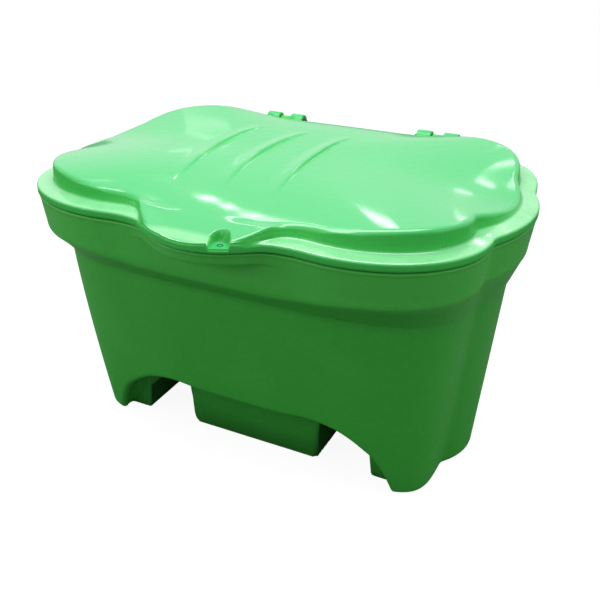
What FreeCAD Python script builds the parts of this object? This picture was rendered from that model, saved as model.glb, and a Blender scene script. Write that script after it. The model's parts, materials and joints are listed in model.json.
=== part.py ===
import FreeCAD, Part
import math
import os

# Grit salt bin: a moulded tub with fork tunnels, and a domed lid hinged at the back.
# Millimetres. The long axis is X, the front faces -Y, +Z is up and the ground is z = 0.
# The origin is on the ground, under the middle of the overall box.

# Driving dimensions of the lid's rim, which every other outline follows
OUTLINE_CENTRE_Y = 1.0
# An outline is half length, half depth and power of a superellipse behind the middle, the
# same of one in front of it, reach, radius and middle of the arc that stands out at each end,
# then the middle and the two halves of the ellipse that makes a front corner lobe
RIM = (631.0, 470.0, 3.7, 600.0, 455.0, 4.0, 663.8, 364.3, -6.9, 324.4, -221.1, 288.7, 237.7)
SHRINKING = (1, 1, 0, 1, 1, 0, 1, 1, 0, 0, 0, 1, 1)   # which of them an inset takes off
FRONT_LOBE_REACH = -530.4      # the arc over the lock, in the middle of the front
FRONT_LOBE_RADIUS = 211.9
LOBE_BLEND = 3.5               # softness of the creases between lobes
FRONT_LOBE_BLEND = 14.0
# The outline's points stand closer near the creases, at these angles round the centre
CREASE_ANGLES = (-62.5, -18.0, 13.0)
CREASE_REACH = 8.0
COARSE_STEP = 3.0
FINE_STEP = 1.2

# Heights above the ground
WALL_TOP_Z = 547.0
COLLAR_TOP_Z = 722.0
LID_FOOT_Z = 725.0
FLANGE_TOP_Z = 746.0
CROWN_Z = 808.0

# Skins
TUB_SKIN = 6.0
LID_SKIN = 5.0
EDGE_ROUND = 12.0

# The tub, with outlines described like the rim's
WALL_FOOT = (520.0, 264.0, 7.0, 520.0, 276.0, 7.0, 566.0, 175.0, 38.0, 324.0, -100.0, 186.0, 162.0)
WALL_TOP = (580.0, 370.0, 4.4, 580.0, 370.0, 4.4, 615.0, 249.0, -16.0, 324.0, -150.0, 245.0, 205.0)
WALL_STEPS = 6
# The collar from its rounded lower corner up: heights, and distances inside the lid's rim
COLLAR = ((602.0, 20.0), (607.0, 17.2), (614.0, 15.6), (650.0, 12.0), (684.0, 7.5))
COLLAR_FOOT = 614.0              # levels up to here rise over the corner lobes and the ends
COLLAR_RISE = 24.0
COLLAR_RISE_STARTS_X = 160.0
COLLAR_RISE_ENDS_X = 420.0
COLLAR_LEAN = 0.1
COLLAR_TOP_INSET = 3.0
OPENING_INSET = 39.0
UPSTAND_SKIN = 5.0
UPSTAND_HEIGHT = 18.0

# Underside: a wide arched recess front and back, two fork tunnels and the well between them
RECESS_Y = -218.0
ARCH_FLOOR_X = 426.0
ARCH_MIDDLE_Z = 183.0
ARCH_EDGE = ((412.0, 92.0), (374.0, 140.0), (300.0, 175.0), (225.0, 192.0), (120.0, 184.0))
WELL_HALF_WIDTH = 202.0
TUNNEL_OUTER_X = 363.0
TUNNEL_TOP_Z = 150.0
TUNNEL_HAUNCH = 70.0

# Lid panel, standing on the flange
PANEL_FOOT_INSET = 44.0
PANEL_TOP_INSET = 47.0
PANEL_LOBE_INSET = 5.0
PANEL_ROOT = 12.0              # how far the panel's walls start below the flange's top
PANEL_HALF_LENGTH = 572.0
PANEL_HALF_DEPTH = 411.0
CROWN_POWER = 3.0
# The panel's edge stands high at the corner lobes and low at the ends, front and back
EDGE_LOW_Z = 771.0
EDGE_CORNER_RISE = 30.0
EDGE_NARROWING_FRONT = 4.0     # how quickly the rise fades along the front
EDGE_NARROWING_BACK = 6.0
EDGE_LIFT_SIDES = 4.0          # more at the front and the back than at the ends
EDGE_TILT = 2.0                # more at the back than at the front
DOME_SHARES = (1.0, 0.88, 0.74, 0.6, 0.45, 0.3, 0.15)
DOME_CAP_SHARE = 0.06
# The tongue over the front lobe slopes from inside the panel down to the lobe's edge
TONGUE_HALF_WIDTH = 200.0
TONGUE_FOOT_Z = 700.0          # buried in the flange
NOSE_Y = -490.0                # in front of this the slope also cuts the flange
NOSE_REACH = 60.0              # straight run past the arc's end
NOSE_SLOPE = 0.45
TONGUE_LINE = ((-380.0, 778.5), (-455.0, 761.5), (-530.0, 736.5))

# Three low ridges, each along a curve through (x, y) points from the back to the front
RIDGES = (((-172.0, 190.0), (-196.0, 60.0), (-176.0, -100.0), (-157.0, -230.0), (-170.0, -345.0)),
          ((-34.0, 130.0), (-45.0, -30.0), (-38.0, -170.0), (-34.0, -290.0)),
          ((118.0, 190.0), (112.0, 40.0), (102.0, -110.0), (108.0, -280.0)))
RIDGE_HEIGHT = 6.0
RIDGE_SLOPE_WIDTH = 45.0
RIDGE_STEEP_WIDTH = 6.0
RIDGE_STATIONS = 8

# Lock pocket and its padlock hole
LOCK_X = 75.0
LOCK_Y = -482.0
POCKET_WIDTH = 46.0
LEDGE_Z = 733.0
PADLOCK_HOLE = 9.0
LOCK_BUSH_DIAMETER = 14.0
LIP_HEIGHT = 28.0

# Hinges
HINGE_AXIS_Y = 506.0
HINGE_AXIS_Z = 745.0
HINGE_X = 260.0
EAR_WIDTH = 45.0
EAR_PITCH = 84.0
EAR_RADIUS = 24.0
LUG_RADIUS = 15.0
LUG_ROOT_INSET = 24.0          # how far inside the lid's rim a lug's gusset starts
LUG_FOOT_Z = 650.0
PIN_DIAMETER = 10.0
PIN_CLEARANCE = 0.05
BUSH_DIAMETER = 14.0
WASHER_THICKNESS = 1.2
SIDE_PLAY = 0.3
CAP_DIAMETER = 18.0
CAP_LENGTH = 7.0
CAP_COVER = 2.0

# Places outside the bin, for cutters that run right through it
BELOW_ALL_Z = -40.0
ABOVE_ALL_Z = 900.0
FAR_FRONT_Y = -620.0
FAR_REACH = 700.0


def vec(x, y, z):
    return FreeCAD.Vector(x, y, z)


def ellipse_reach(cx, cy, half_x, half_y, dx, dy):
    """Distance along (dx, dy) from the outline's centre to the far side of an ellipse, or 0."""
    square = (dx / half_x) ** 2 + (dy / half_y) ** 2
    along = cx * dx / half_x ** 2 + cy * dy / half_y ** 2
    rest = (cx / half_x) ** 2 + (cy / half_y) ** 2 - 1
    inside = along ** 2 - square * rest
    return (along + math.sqrt(inside)) / square if inside > 0 and along > 0 else 0.0


def soft_max(values, blend):
    top = max(values)
    return top + blend * math.log(sum(math.exp((v - top) / blend) for v in values))


def outline_angles():
    """Angles round the centre, from the middle of the front, alike on the left and the right."""
    right, angle = [], -90.0
    while angle < 90.0 - FINE_STEP / 2:
        right.append(angle)
        beside_crease = min(abs(angle - crease) for crease in CREASE_ANGLES) < CREASE_REACH
        angle += FINE_STEP if beside_crease else COARSE_STEP
    left = [180.0 - a for a in reversed(right[1:])]
    return [math.radians(a) for a in right + [90.0] + left]


def outline_points(level, front_lobe=None):
    """Plan of an outline: a superellipse, joined softly to an arc at each end, to the front
    corner lobes and, where front_lobe gives its reach and radius, to the arc at the front."""
    back, front = level[0:3], level[3:6]
    end_reach, end_radius, end_y, corner_x, corner_y, corner_half_x, corner_half_y = level[6:]
    points = []
    for angle in outline_angles():
        dx, dy = math.cos(angle), math.sin(angle)
        side = 1 if dx >= 0 else -1
        half_length, half_depth, power = front if dy < 0 else back
        core = (abs(dx / half_length) ** power + abs(dy / half_depth) ** power) ** (-1 / power)
        end = ellipse_reach(side * (end_reach - end_radius), end_y - OUTLINE_CENTRE_Y,
                            end_radius, end_radius, dx, dy)
        lobes = [core, end]
        if dy < 0:
            lobes.append(ellipse_reach(side * corner_x, corner_y - OUTLINE_CENTRE_Y,
                                       corner_half_x, corner_half_y, dx, dy))
        reach = soft_max(lobes, LOBE_BLEND)
        if front_lobe and dy < 0:
            front_reach, radius = front_lobe
            lobe = ellipse_reach(0, front_reach + radius - OUTLINE_CENTRE_Y, radius, radius, dx, dy)
            reach = soft_max((reach, lobe), FRONT_LOBE_BLEND) if lobe > 0 else reach
        points.append((reach * dx, OUTLINE_CENTRE_Y + reach * dy))
    return points


def closed_wire(points):
    """Smooth closed wire through points."""
    curve = Part.BSplineCurve()
    curve.interpolate([vec(*p) for p in points], PeriodicFlag=True)
    return Part.Wire([curve.toShape()])


def outline(z, level, front_lobe=None):
    return closed_wire([(x, y, z) for x, y in outline_points(level, front_lobe)])


def inset(level, amount):
    """The same outline drawn in by an amount."""
    return tuple(v - amount * k for v, k in zip(level, SHRINKING))


def between(low, high, share):
    """The outline a share of the way from one level to another."""
    return tuple(a + (b - a) * share for a, b in zip(low, high))


def rim_outline(z, amount, front_amount=None):
    """The lid's rim drawn in by an amount; front_amount adds the front lobe."""
    lobe = None
    if front_amount is not None:
        lobe = (FRONT_LOBE_REACH + front_amount, FRONT_LOBE_RADIUS - front_amount)
    return outline(z, inset(RIM, amount), lobe)


def loft(*wires):
    return Part.makeLoft(list(wires), True, True)


def block(x0, x1, y0, y1, z0, z1):
    return Part.makeBox(x1 - x0, y1 - y0, z1 - z0, vec(x0, y0, z0))


def along_x(x0, x1, radius):
    """Cylinder on the hinge axis."""
    return Part.makeCylinder(radius, x1 - x0, vec(x0, HINGE_AXIS_Y, HINGE_AXIS_Z), vec(1, 0, 0))


def upright(radius, z0, z1):
    """Cylinder on the padlock's axis."""
    return Part.makeCylinder(radius, z1 - z0, vec(LOCK_X, LOCK_Y, z0))


def prism(points, direction):
    """Straight sided prism from a closed list of corners."""
    wire = Part.makePolygon([vec(*p) for p in points] + [vec(*points[0])])
    return Part.Face(wire).extrude(direction)


def mirrored(shape):
    return shape.mirror(vec(0, 0, 0), vec(1, 0, 0))


# Tub
def arch_profile(y, grow):
    """Face in the XZ plane under the front wall's arched lower edge."""
    half = [(ARCH_FLOOR_X + grow, 0.0)] + [(x + grow, z + grow) for x, z in ARCH_EDGE]
    middle = [(0.0, ARCH_MIDDLE_Z + grow)]
    points = half + middle + [(-x, z) for x, z in reversed(half)]
    curve = Part.BSplineCurve()
    curve.interpolate([vec(x, y, z) for x, z in points])
    foot_x = half[0][0]
    below = ((-foot_x, 0), (-foot_x, BELOW_ALL_Z), (foot_x, BELOW_ALL_Z), (foot_x, 0))
    corners = [vec(x, y, z) for x, z in below]
    edges = [curve.toShape()] + [Part.makeLine(a, b) for a, b in zip(corners, corners[1:])]
    return Part.Face(Part.Wire(Part.sortEdges(edges)[0]))


def underside(grow):
    """Room under the tub: the two arched recesses and the two tunnels, grown by a skin."""
    front = arch_profile(RECESS_Y + grow, grow).extrude(vec(0, -FAR_REACH, 0))
    rear = arch_profile(2 * OUTLINE_CENTRE_Y - RECESS_Y - grow, grow).extrude(vec(0, FAR_REACH, 0))
    outer, well, top = TUNNEL_OUTER_X + grow, WELL_HALF_WIDTH - grow, TUNNEL_TOP_Z + grow
    section = ((well, BELOW_ALL_Z), (outer, BELOW_ALL_Z), (outer, top - TUNNEL_HAUNCH),
               (outer - TUNNEL_HAUNCH, top), (well, top))
    tunnel = prism([(x, -FAR_REACH, z) for x, z in section], vec(0, 2 * FAR_REACH, 0))
    return front.fuse([rear, tunnel, mirrored(tunnel)])


def collar_outline(z, amount):
    """A level of the collar. The low ones rise over the corner lobes and the ends, and move out
    with the collar's lean."""
    points = []
    for x, y in outline_points(inset(RIM, amount)):
        share = (abs(x) - COLLAR_RISE_STARTS_X) / (COLLAR_RISE_ENDS_X - COLLAR_RISE_STARTS_X)
        share = min(max(share, 0.0), 1.0)
        rise = COLLAR_RISE * share * share * (3 - 2 * share) if z <= COLLAR_FOOT else 0.0
        out = 1 + COLLAR_LEAN * rise / math.hypot(x, y)
        points.append((x * out, y * out, z + rise))
    return closed_wire(points)


def tub_levels(skin):
    """Outlines of the tub from foot to rim: tapered walls, a soffit, then the leaning collar."""
    levels = [(skin, inset(WALL_FOOT, skin + EDGE_ROUND)),
              (skin + EDGE_ROUND / 3, inset(WALL_FOOT, skin + EDGE_ROUND / 3))]
    for step in range(WALL_STEPS + 1):
        share = step / WALL_STEPS
        z = skin + EDGE_ROUND + (WALL_TOP_Z - skin - EDGE_ROUND) * share
        levels.append((z, inset(between(WALL_FOOT, WALL_TOP, share), skin)))
    walls = [outline(z, level) for z, level in levels]
    collar = COLLAR + ((COLLAR_TOP_Z - skin, COLLAR_TOP_INSET),)
    return walls + [collar_outline(z, amount + skin) for z, amount in collar]


def tub_lug(x):
    """Hinge lug: a knuckle on the axis, carried by a gusset on the back of the collar."""
    half = (EAR_PITCH - EAR_WIDTH) / 2 - WASHER_THICKNESS - 2 * SIDE_PLAY
    back = OUTLINE_CENTRE_Y + RIM[1] - LUG_ROOT_INSET
    arm = prism([(x - half, back, COLLAR_TOP_Z - 5), (x - half, back, LUG_FOOT_Z),
                 (x - half, HINGE_AXIS_Y + LUG_RADIUS - 1, HINGE_AXIS_Z - 6),
                 (x - half, HINGE_AXIS_Y - LUG_RADIUS, HINGE_AXIS_Z),
                 (x - half, HINGE_AXIS_Y - LUG_RADIUS, COLLAR_TOP_Z - 3)], vec(2 * half, 0, 0))
    return arm.fuse(along_x(x - half, x + half, LUG_RADIUS))


def make_tub():
    outer = loft(*tub_levels(0.0))
    lip = loft(rim_outline(COLLAR_TOP_Z - LIP_HEIGHT, 26.0, 20.0), rim_outline(COLLAR_TOP_Z - 8, 9.0, 8.0),
               rim_outline(COLLAR_TOP_Z, 9.0, 8.0))
    lip = lip.common(block(-215, 215, -600, -380, 600, 800))
    upstand = loft(rim_outline(COLLAR_TOP_Z - TUB_SKIN, OPENING_INSET - UPSTAND_SKIN),
                   rim_outline(COLLAR_TOP_Z + UPSTAND_HEIGHT, OPENING_INSET - UPSTAND_SKIN))
    mouth = loft(rim_outline(COLLAR_TOP_Z - 2 * TUB_SKIN, OPENING_INSET),
                 rim_outline(COLLAR_TOP_Z + UPSTAND_HEIGHT, OPENING_INSET))
    inner = loft(*tub_levels(TUB_SKIN)).cut(underside(TUB_SKIN))
    lugs = [tub_lug(-HINGE_X), tub_lug(HINGE_X)]
    body = outer.fuse([lip, upstand]).cut(underside(0.0)).cut(inner).cut(mouth).fuse(lugs)
    pin_hole = along_x(-400, 400, PIN_DIAMETER / 2)
    bush_hole = upright(LOCK_BUSH_DIAMETER / 2, 600, 800)
    return body.cut(pin_hole).cut(bush_hole)


# Lid
def panel_height(x, y):
    """Height of the panel's top over a point: a dome that falls to an edge of uneven height."""
    u, v = x / PANEL_HALF_LENGTH, (y - OUTLINE_CENTRE_Y) / PANEL_HALF_DEPTH
    share = (abs(u) ** CROWN_POWER + abs(v) ** CROWN_POWER) ** (1 / CROWN_POWER)
    fading = EDGE_NARROWING_FRONT if v < 0 else EDGE_NARROWING_BACK
    narrowing = 1 + fading * max(v ** 2 / (u ** 2 + v ** 2) - 0.5, 0.0)
    corner = (2 * abs(u * v) / (u ** 2 + v ** 2)) ** (2 * narrowing)
    edge_z = EDGE_LOW_Z + EDGE_CORNER_RISE * corner + EDGE_LIFT_SIDES * v ** 2 + EDGE_TILT * v
    return CROWN_Z - (CROWN_Z - edge_z) * share ** 3


def panel(amount, drop):
    """The raised panel: leaning walls, a rounded edge and a dome."""
    def section(plan, fall):
        return closed_wire([(x, y, panel_height(x, y) - drop - fall) for x, y in plan])

    sections = [rim_outline(FLANGE_TOP_Z - PANEL_ROOT - drop, PANEL_FOOT_INSET + amount)]
    for turn in (0.0, 30.0, 60.0):
        fall = EDGE_ROUND * (1 - math.sin(math.radians(turn)))
        back = EDGE_ROUND * (1 - math.cos(math.radians(turn)))
        sections.append(section(outline_points(inset(RIM, PANEL_TOP_INSET + amount + back)), fall))
    dome = outline_points(inset(RIM, PANEL_TOP_INSET + EDGE_ROUND + amount))
    for share in DOME_SHARES:
        sections.append(section([(x * share, y * share) for x, y in dome], 0.0))
    sections.append(closed_wire([(x * DOME_CAP_SHARE, y * DOME_CAP_SHARE, CROWN_Z - drop) for x, y in dome]))
    return loft(*sections)


def beside_tongue(drop, z):
    """Room between the tongue's sloping arc, lowered by drop, and height z, over the lobe."""
    start, middle, end = (vec(-TONGUE_HALF_WIDTH, y, up - drop) for y, up in TONGUE_LINE)
    far = vec(end.x, end.y - NOSE_REACH, end.z - NOSE_REACH * NOSE_SLOPE)
    corners = [end, far, vec(far.x, far.y, z), vec(start.x, start.y, z), start]
    edges = [Part.Arc(start, middle, end).toShape()]
    edges += [Part.makeLine(a, b) for a, b in zip(corners, corners[1:])]
    face = Part.Face(Part.Wire(Part.sortEdges(edges)[0]))
    return face.extrude(vec(2 * TONGUE_HALF_WIDTH, 0, 0))


def tongue(amount, drop):
    """The panel's run down onto the front lobe: upright sides under one sloping arc."""
    insets = PANEL_FOOT_INSET + amount, PANEL_LOBE_INSET + amount
    sides = loft(rim_outline(FLANGE_TOP_Z - PANEL_ROOT - drop, *insets), rim_outline(CROWN_Z, *insets))
    return sides.common(beside_tongue(drop, TONGUE_FOOT_Z))


def ridge(points):
    """A low rib that follows the dome, steep on its right side and fading to the front."""
    path = Part.BSplineCurve()
    path.interpolate([vec(x, y, 0) for x, y in points])
    wires = []
    for i, place in enumerate(path.discretize(RIDGE_STATIONS + 1)):
        rise = RIDGE_HEIGHT * math.cos(math.pi / 2 * i / RIDGE_STATIONS) - 1
        corners = [(place.x - RIDGE_SLOPE_WIDTH, -3), (place.x + RIDGE_STEEP_WIDTH, -3), (place.x, rise)]
        section = [vec(x, place.y, panel_height(x, place.y) + up) for x, up in corners]
        wires.append(Part.makePolygon(section + section[:1]))
    return loft(*wires)


def lid_ear(x):
    """Hinge ear: a round eye with a neck into the back of the flange."""
    x0, x1 = x - EAR_WIDTH / 2, x + EAR_WIDTH / 2
    back = OUTLINE_CENTRE_Y + RIM[1] - LID_SKIN / 2
    neck = prism([(x0, back - 35, FLANGE_TOP_Z - LID_SKIN / 2), (x0, back - 20, FLANGE_TOP_Z),
                  (x0, HINGE_AXIS_Y - 6, HINGE_AXIS_Z + EAR_RADIUS - 1),
                  (x0, HINGE_AXIS_Y - 6, HINGE_AXIS_Z - EAR_RADIUS + 6),
                  (x0, back, LID_FOOT_Z + 2), (x0, back, FLANGE_TOP_Z - LID_SKIN / 2)], vec(x1 - x0, 0, 0))
    return neck.fuse(along_x(x0, x1, EAR_RADIUS))


def lock_pocket(grow):
    """Niche over the padlock hole, round at the back and open square to the lobe's edge."""
    radius = POCKET_WIDTH / 2 + grow
    niche = upright(radius, LEDGE_Z - grow, ABOVE_ALL_Z)
    way_in = block(LOCK_X - radius, LOCK_X + radius, FAR_FRONT_Y, LOCK_Y, LEDGE_Z - grow, ABOVE_ALL_Z)
    lobe_middle_y = FRONT_LOBE_REACH + FRONT_LOBE_RADIUS
    turn = math.degrees(math.atan2(LOCK_X, lobe_middle_y - LOCK_Y))
    way_in.rotate(vec(LOCK_X, LOCK_Y, 0), vec(0, 0, 1), turn)
    return niche.fuse(way_in)


def make_lid():
    flange = loft(rim_outline(LID_FOOT_Z, 0.0, 0.0), rim_outline(FLANGE_TOP_Z - 6, 0.0, 0.0),
                  rim_outline(FLANGE_TOP_Z, 5.0, 5.0))
    nose = block(-TONGUE_HALF_WIDTH, TONGUE_HALF_WIDTH, FAR_FRONT_Y, NOSE_Y, BELOW_ALL_Z, ABOVE_ALL_Z)
    flange = flange.cut(beside_tongue(0.0, ABOVE_ALL_Z).common(nose))
    raised = panel(0.0, 0.0).fuse(tongue(0.0, 0.0)).fuse([ridge(points) for points in RIDGES])
    skirt_hollow = loft(rim_outline(LID_FOOT_Z, LID_SKIN, LID_SKIN),
                        rim_outline(FLANGE_TOP_Z - LID_SKIN, LID_SKIN, LID_SKIN))
    skirt_hollow = skirt_hollow.cut(beside_tongue(LID_SKIN, ABOVE_ALL_Z).common(nose))
    hollow = panel(LID_SKIN, LID_SKIN).fuse([tongue(LID_SKIN, LID_SKIN), skirt_hollow])
    hollow = hollow.cut(lock_pocket(LID_SKIN))
    ears = [lid_ear(side * HINGE_X + step * EAR_PITCH / 2) for side in (-1, 1) for step in (-1, 1)]
    body = flange.fuse(raised).cut(lock_pocket(0.0)).cut(hollow).fuse(ears)
    bore = along_x(-400, 400, BUSH_DIAMETER / 2)
    return body.cut(bore).cut(upright(LOCK_BUSH_DIAMETER / 2, 700, 800))


# Small parts
def ring(x0, x1, outer, inner):
    return along_x(x0, x1, outer / 2).cut(along_x(x0 - 1, x1 + 1, inner / 2))


def hinge_parts(side):
    """Pin, two ear bushes, two washers and two end caps of one hinge."""
    centre = side * HINGE_X
    half_pin = EAR_PITCH / 2 + EAR_WIDTH / 2 + 1.0
    running = PIN_DIAMETER + 2 * PIN_CLEARANCE
    pin = along_x(centre - half_pin - CAP_LENGTH + CAP_COVER, centre + half_pin + CAP_LENGTH - CAP_COVER,
                  PIN_DIAMETER / 2)
    bushes, washers, caps = [], [], []
    for end in (-1, 1):
        ear = centre + end * EAR_PITCH / 2
        bushes.append(ring(ear - EAR_WIDTH / 2, ear + EAR_WIDTH / 2, BUSH_DIAMETER, running))
        gap = centre + end * ((EAR_PITCH - EAR_WIDTH) / 2 - WASHER_THICKNESS / 2 - SIDE_PLAY)
        washers.append(ring(gap - WASHER_THICKNESS / 2, gap + WASHER_THICKNESS / 2, CAP_DIAMETER, running))
        tip = sorted((centre + end * half_pin, centre + end * (half_pin + CAP_LENGTH)))
        socket = sorted((centre + end * (half_pin - 1), centre + end * (half_pin + CAP_LENGTH - CAP_COVER)))
        cap = along_x(*tip, CAP_DIAMETER / 2)
        caps.append(cap.cut(along_x(*socket, PIN_DIAMETER / 2)))
    return pin, bushes, washers, caps


def lock_bush(z0, z1):
    return upright(LOCK_BUSH_DIAMETER / 2, z0, z1).cut(upright(PADLOCK_HOLE / 2, z0 - 1, z1 + 1))


def make_seal():
    """Soft strip on top of the tub's upstand, just short of the closed lid."""
    z0 = COLLAR_TOP_Z + UPSTAND_HEIGHT
    z1 = FLANGE_TOP_Z - LID_SKIN - 0.4
    outer = loft(rim_outline(z0, OPENING_INSET - UPSTAND_SKIN), rim_outline(z1, OPENING_INSET - UPSTAND_SKIN))
    inner = loft(rim_outline(z0, OPENING_INSET), rim_outline(z1, OPENING_INSET))
    return outer.cut(inner)


def export(name, shape):
    solids = shape.Solids
    shape = solids[0] if len(solids) == 1 else Part.makeCompound(solids)
    shape.exportStep("parts/" + name + ".step")
    box = shape.BoundBox
    state = "valid" if shape.isValid() else "INVALID"
    print(name, len(solids), state, round(shape.Volume / 1000), "cm3",
          [round(v, 1) for v in (box.XMin, box.XMax, box.YMin, box.YMax, box.ZMin, box.ZMax)])


def main():
    os.makedirs("parts", exist_ok=True)
    export("tub", make_tub())
    export("lid", make_lid())
    export("rim_seal", make_seal())
    for name, side in (("left", -1), ("right", 1)):
        pin, bushes, washers, caps = hinge_parts(side)
        export("hinge_pin_" + name, pin)
        export("hinge_bushes_" + name, Part.makeCompound(bushes))
        export("hinge_washers_" + name, Part.makeCompound(washers))
        export("hinge_caps_" + name, Part.makeCompound(caps))
    export("lid_lock_bush", lock_bush(LEDGE_Z - LID_SKIN, LEDGE_Z))
    export("tub_lock_bush", lock_bush(COLLAR_TOP_Z - TUB_SKIN, COLLAR_TOP_Z))


main()
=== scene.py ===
"""A grit salt bin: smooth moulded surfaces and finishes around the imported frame.

Metres, +Z up, the front faces -Y, and the ground is z = 0. The bin's outlines are all one
family: a superellipse, joined softly to an arc at each end, to an elliptical lobe at each
front corner and, on the lid, to an arc over the lock.
"""
import json
import math
from functools import cached_property

import bpy
import numpy as np
from bpy.props import FloatProperty, FloatVectorProperty, PointerProperty
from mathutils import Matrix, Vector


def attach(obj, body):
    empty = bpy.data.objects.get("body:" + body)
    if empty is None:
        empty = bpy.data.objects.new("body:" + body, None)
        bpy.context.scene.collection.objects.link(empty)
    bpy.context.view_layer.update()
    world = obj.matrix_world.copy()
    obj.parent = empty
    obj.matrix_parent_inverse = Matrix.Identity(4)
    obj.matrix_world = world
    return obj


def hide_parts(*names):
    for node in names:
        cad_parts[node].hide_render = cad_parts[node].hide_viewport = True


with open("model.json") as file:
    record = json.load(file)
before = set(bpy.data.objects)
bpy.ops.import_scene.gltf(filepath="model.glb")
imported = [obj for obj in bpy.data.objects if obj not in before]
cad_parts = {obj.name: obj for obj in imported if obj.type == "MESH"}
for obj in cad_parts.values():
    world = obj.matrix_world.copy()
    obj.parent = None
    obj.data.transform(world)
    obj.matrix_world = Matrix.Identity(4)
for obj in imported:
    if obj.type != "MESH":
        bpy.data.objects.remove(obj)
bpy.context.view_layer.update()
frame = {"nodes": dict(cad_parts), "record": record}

bl_info = {
    "name": "Grit salt bin",
    "version": (1, 0, 0),
    "blender": (4, 5, 0),
    "location": "3D View > Sidebar > Salt bin",
    "description": "Builds a moulded grit bin with a hinged, lobed lid",
    "category": "Object",
}

# An outline is a row of 13 numbers. SHRINKING marks those that shrink as it is drawn in
OUTLINE_WORDS = ("half length, half depth and power behind the middle, the same in front, end "
                 "arc reach, radius and middle, corner lobe middle and halves")
SHRINKING = np.array((1, 1, 0, 1, 1, 0, 1, 1, 0, 0, 0, 1, 1), float)


# Sizes and colours
COLOUR = {"subtype": "COLOR", "min": 0.0, "max": 1.0}
FACTOR = {"subtype": "FACTOR", "min": 0.0, "max": 1.0}
PLACE, ANGLE = {"subtype": "TRANSLATION"}, {"subtype": "ANGLE"}


def sized(name, description, default, kind=None, **limits):
    """A property for a number or a row of them: lengths in metres, if no kind is given."""
    kind = {"unit": "LENGTH"} if kind is None else kind
    settings = dict(name=name, description=description, default=default, **kind, **limits)
    if isinstance(default, tuple):
        return FloatVectorProperty(size=len(default), precision=4, **settings)
    return FloatProperty(**settings)


def outline(name, description, *default):
    """A property for the numbers of an outline."""
    return sized(name, description + ": " + OUTLINE_WORDS, default, {})


class BinOutline(bpy.types.PropertyGroup):
    """The family of outlines that the lid and the tub share."""
    centre_y: sized("Centre", "Middle of every outline, front to back", 0.001)
    rim: outline(
        "Rim", "Lid rim",
        0.631, 0.470, 3.7, 0.600, 0.455, 4.0, 0.6638, 0.3643, -0.0069,
        0.3244, -0.2211, 0.2887, 0.2377)
    lobe_reach: sized("Front lobe reach", "Foremost point of the arc over the lock", -0.5304)
    lobe_radius: sized("Front lobe radius", "Radius of the arc over the lock", 0.2119, min=0.05)
    crease: sized("Crease softness", "How softly neighbouring lobes meet", 0.0035, min=0.0005)
    lobe_crease: sized(
        "Front crease softness", "How softly the front lobe meets the front", 0.014, min=0.0005)


class BinTub(bpy.types.PropertyGroup):
    """The tub: tapered walls, a soffit, a leaning collar and an arched underside."""
    foot: outline(
        "Foot outline", "Walls at the ground",
        0.520, 0.264, 7.0, 0.520, 0.276, 7.0, 0.566, 0.175, 0.038, 0.324, -0.100, 0.186, 0.162)
    wall_top: outline(
        "Wall top outline", "Walls under the soffit",
        0.580, 0.370, 4.4, 0.580, 0.370, 4.4, 0.615, 0.249, -0.016, 0.324, -0.150, 0.245, 0.205)
    wall_top_z: sized("Wall top height", "Where the soffit starts", 0.547)
    collar_top_z: sized("Collar top height", "Top of the tub", 0.722)
    collar_heights: sized(
        "Collar heights", "From the rounded lower corner to the top",
        (0.602, 0.6045, 0.607, 0.610, 0.614, 0.650, 0.684, 0.722))
    collar_insets: sized(
        "Collar insets", "Distances inside the lid's rim at those heights",
        (0.0200, 0.0184, 0.0172, 0.0163, 0.0156, 0.0120, 0.0075, 0.0030))
    collar_rise: sized(
        "Collar rise", "How much higher its lower corner is over the lobes and ends", 0.024)
    skin: sized("Wall thickness", "Moulded skin of the tub", 0.006)
    foot_round: sized("Foot rounding", "Radius of the lower edge", 0.016)
    recess_y: sized("Recess depth", "Upright face under the arch, from the middle", 0.219)
    well_half_width: sized("Well half width", "Middle foot, from the middle", 0.202)
    tunnel_outer_x: sized("Tunnel outer side", "Outer side of a fork tunnel", 0.363)
    tunnel_top_z: sized("Tunnel height", "Ceiling of a fork tunnel", 0.150)
    tunnel_haunch: sized("Tunnel haunch", "Sloping outer corner of a fork tunnel", 0.070)


class BinLid(bpy.types.PropertyGroup):
    """The lid: an upright flange, a shelf and a raised, crowned panel with a lock pocket."""
    foot_z: sized("Foot height", "Lower edge of the flange", 0.726)
    flange_top_z: sized("Shelf height", "Top of the flange", 0.746)
    shelf_slope: sized("Shelf slope", "How much the shelf rises inwards", 0.004)
    edge_z: sized("Panel edge height", "Height of the panel's edge at the ends", 0.771)
    edge_rise: sized("Corner rise", "How much higher the edge stands at the corner lobes", 0.030)
    crown_z: sized("Crown height", "Top of the dome", 0.808)
    panel_halves: sized("Panel halves", "Half length and half depth of the panel", (0.572, 0.411))
    foot_inset: sized("Shelf width", "Foot of the panel behind the rim", 0.044)
    top_inset: sized("Panel top inset", "Top of the panel's walls behind the rim", 0.047)
    lobe_inset: sized("Panel lobe inset", "Panel behind the rim at the front lobe", 0.002)
    skin: sized("Skin", "Moulded skin of the lid", 0.005)
    ridge_height: sized("Ridge height", "Height of the three ribs", 0.0085)
    lock: sized(
        "Padlock hole", "Place of the padlock hole and height of its ledge",
        (0.075, -0.482, 0.733), PLACE)
    pocket_width: sized("Pocket width", "Width of the lock pocket", 0.046)


class BinHinge(bpy.types.PropertyGroup):
    """The two hinges at the back."""
    axis_y: sized("Axis place", "Hinge axis, front to back", 0.506)
    axis_z: sized("Axis height", "Hinge axis above the ground", 0.745)
    middle_x: sized("Hinge place", "Middle of a hinge from the middle", 0.260)
    ear_width: sized("Ear width", "Width of a lid ear", 0.045)
    ear_pitch: sized("Ear pitch", "Middle to middle of a pair of ears", 0.084)
    ear_radius: sized("Ear radius", "Round end of a lid ear", 0.024)
    lug_radius: sized("Lug radius", "Round end of a tub lug", 0.015)


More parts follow.
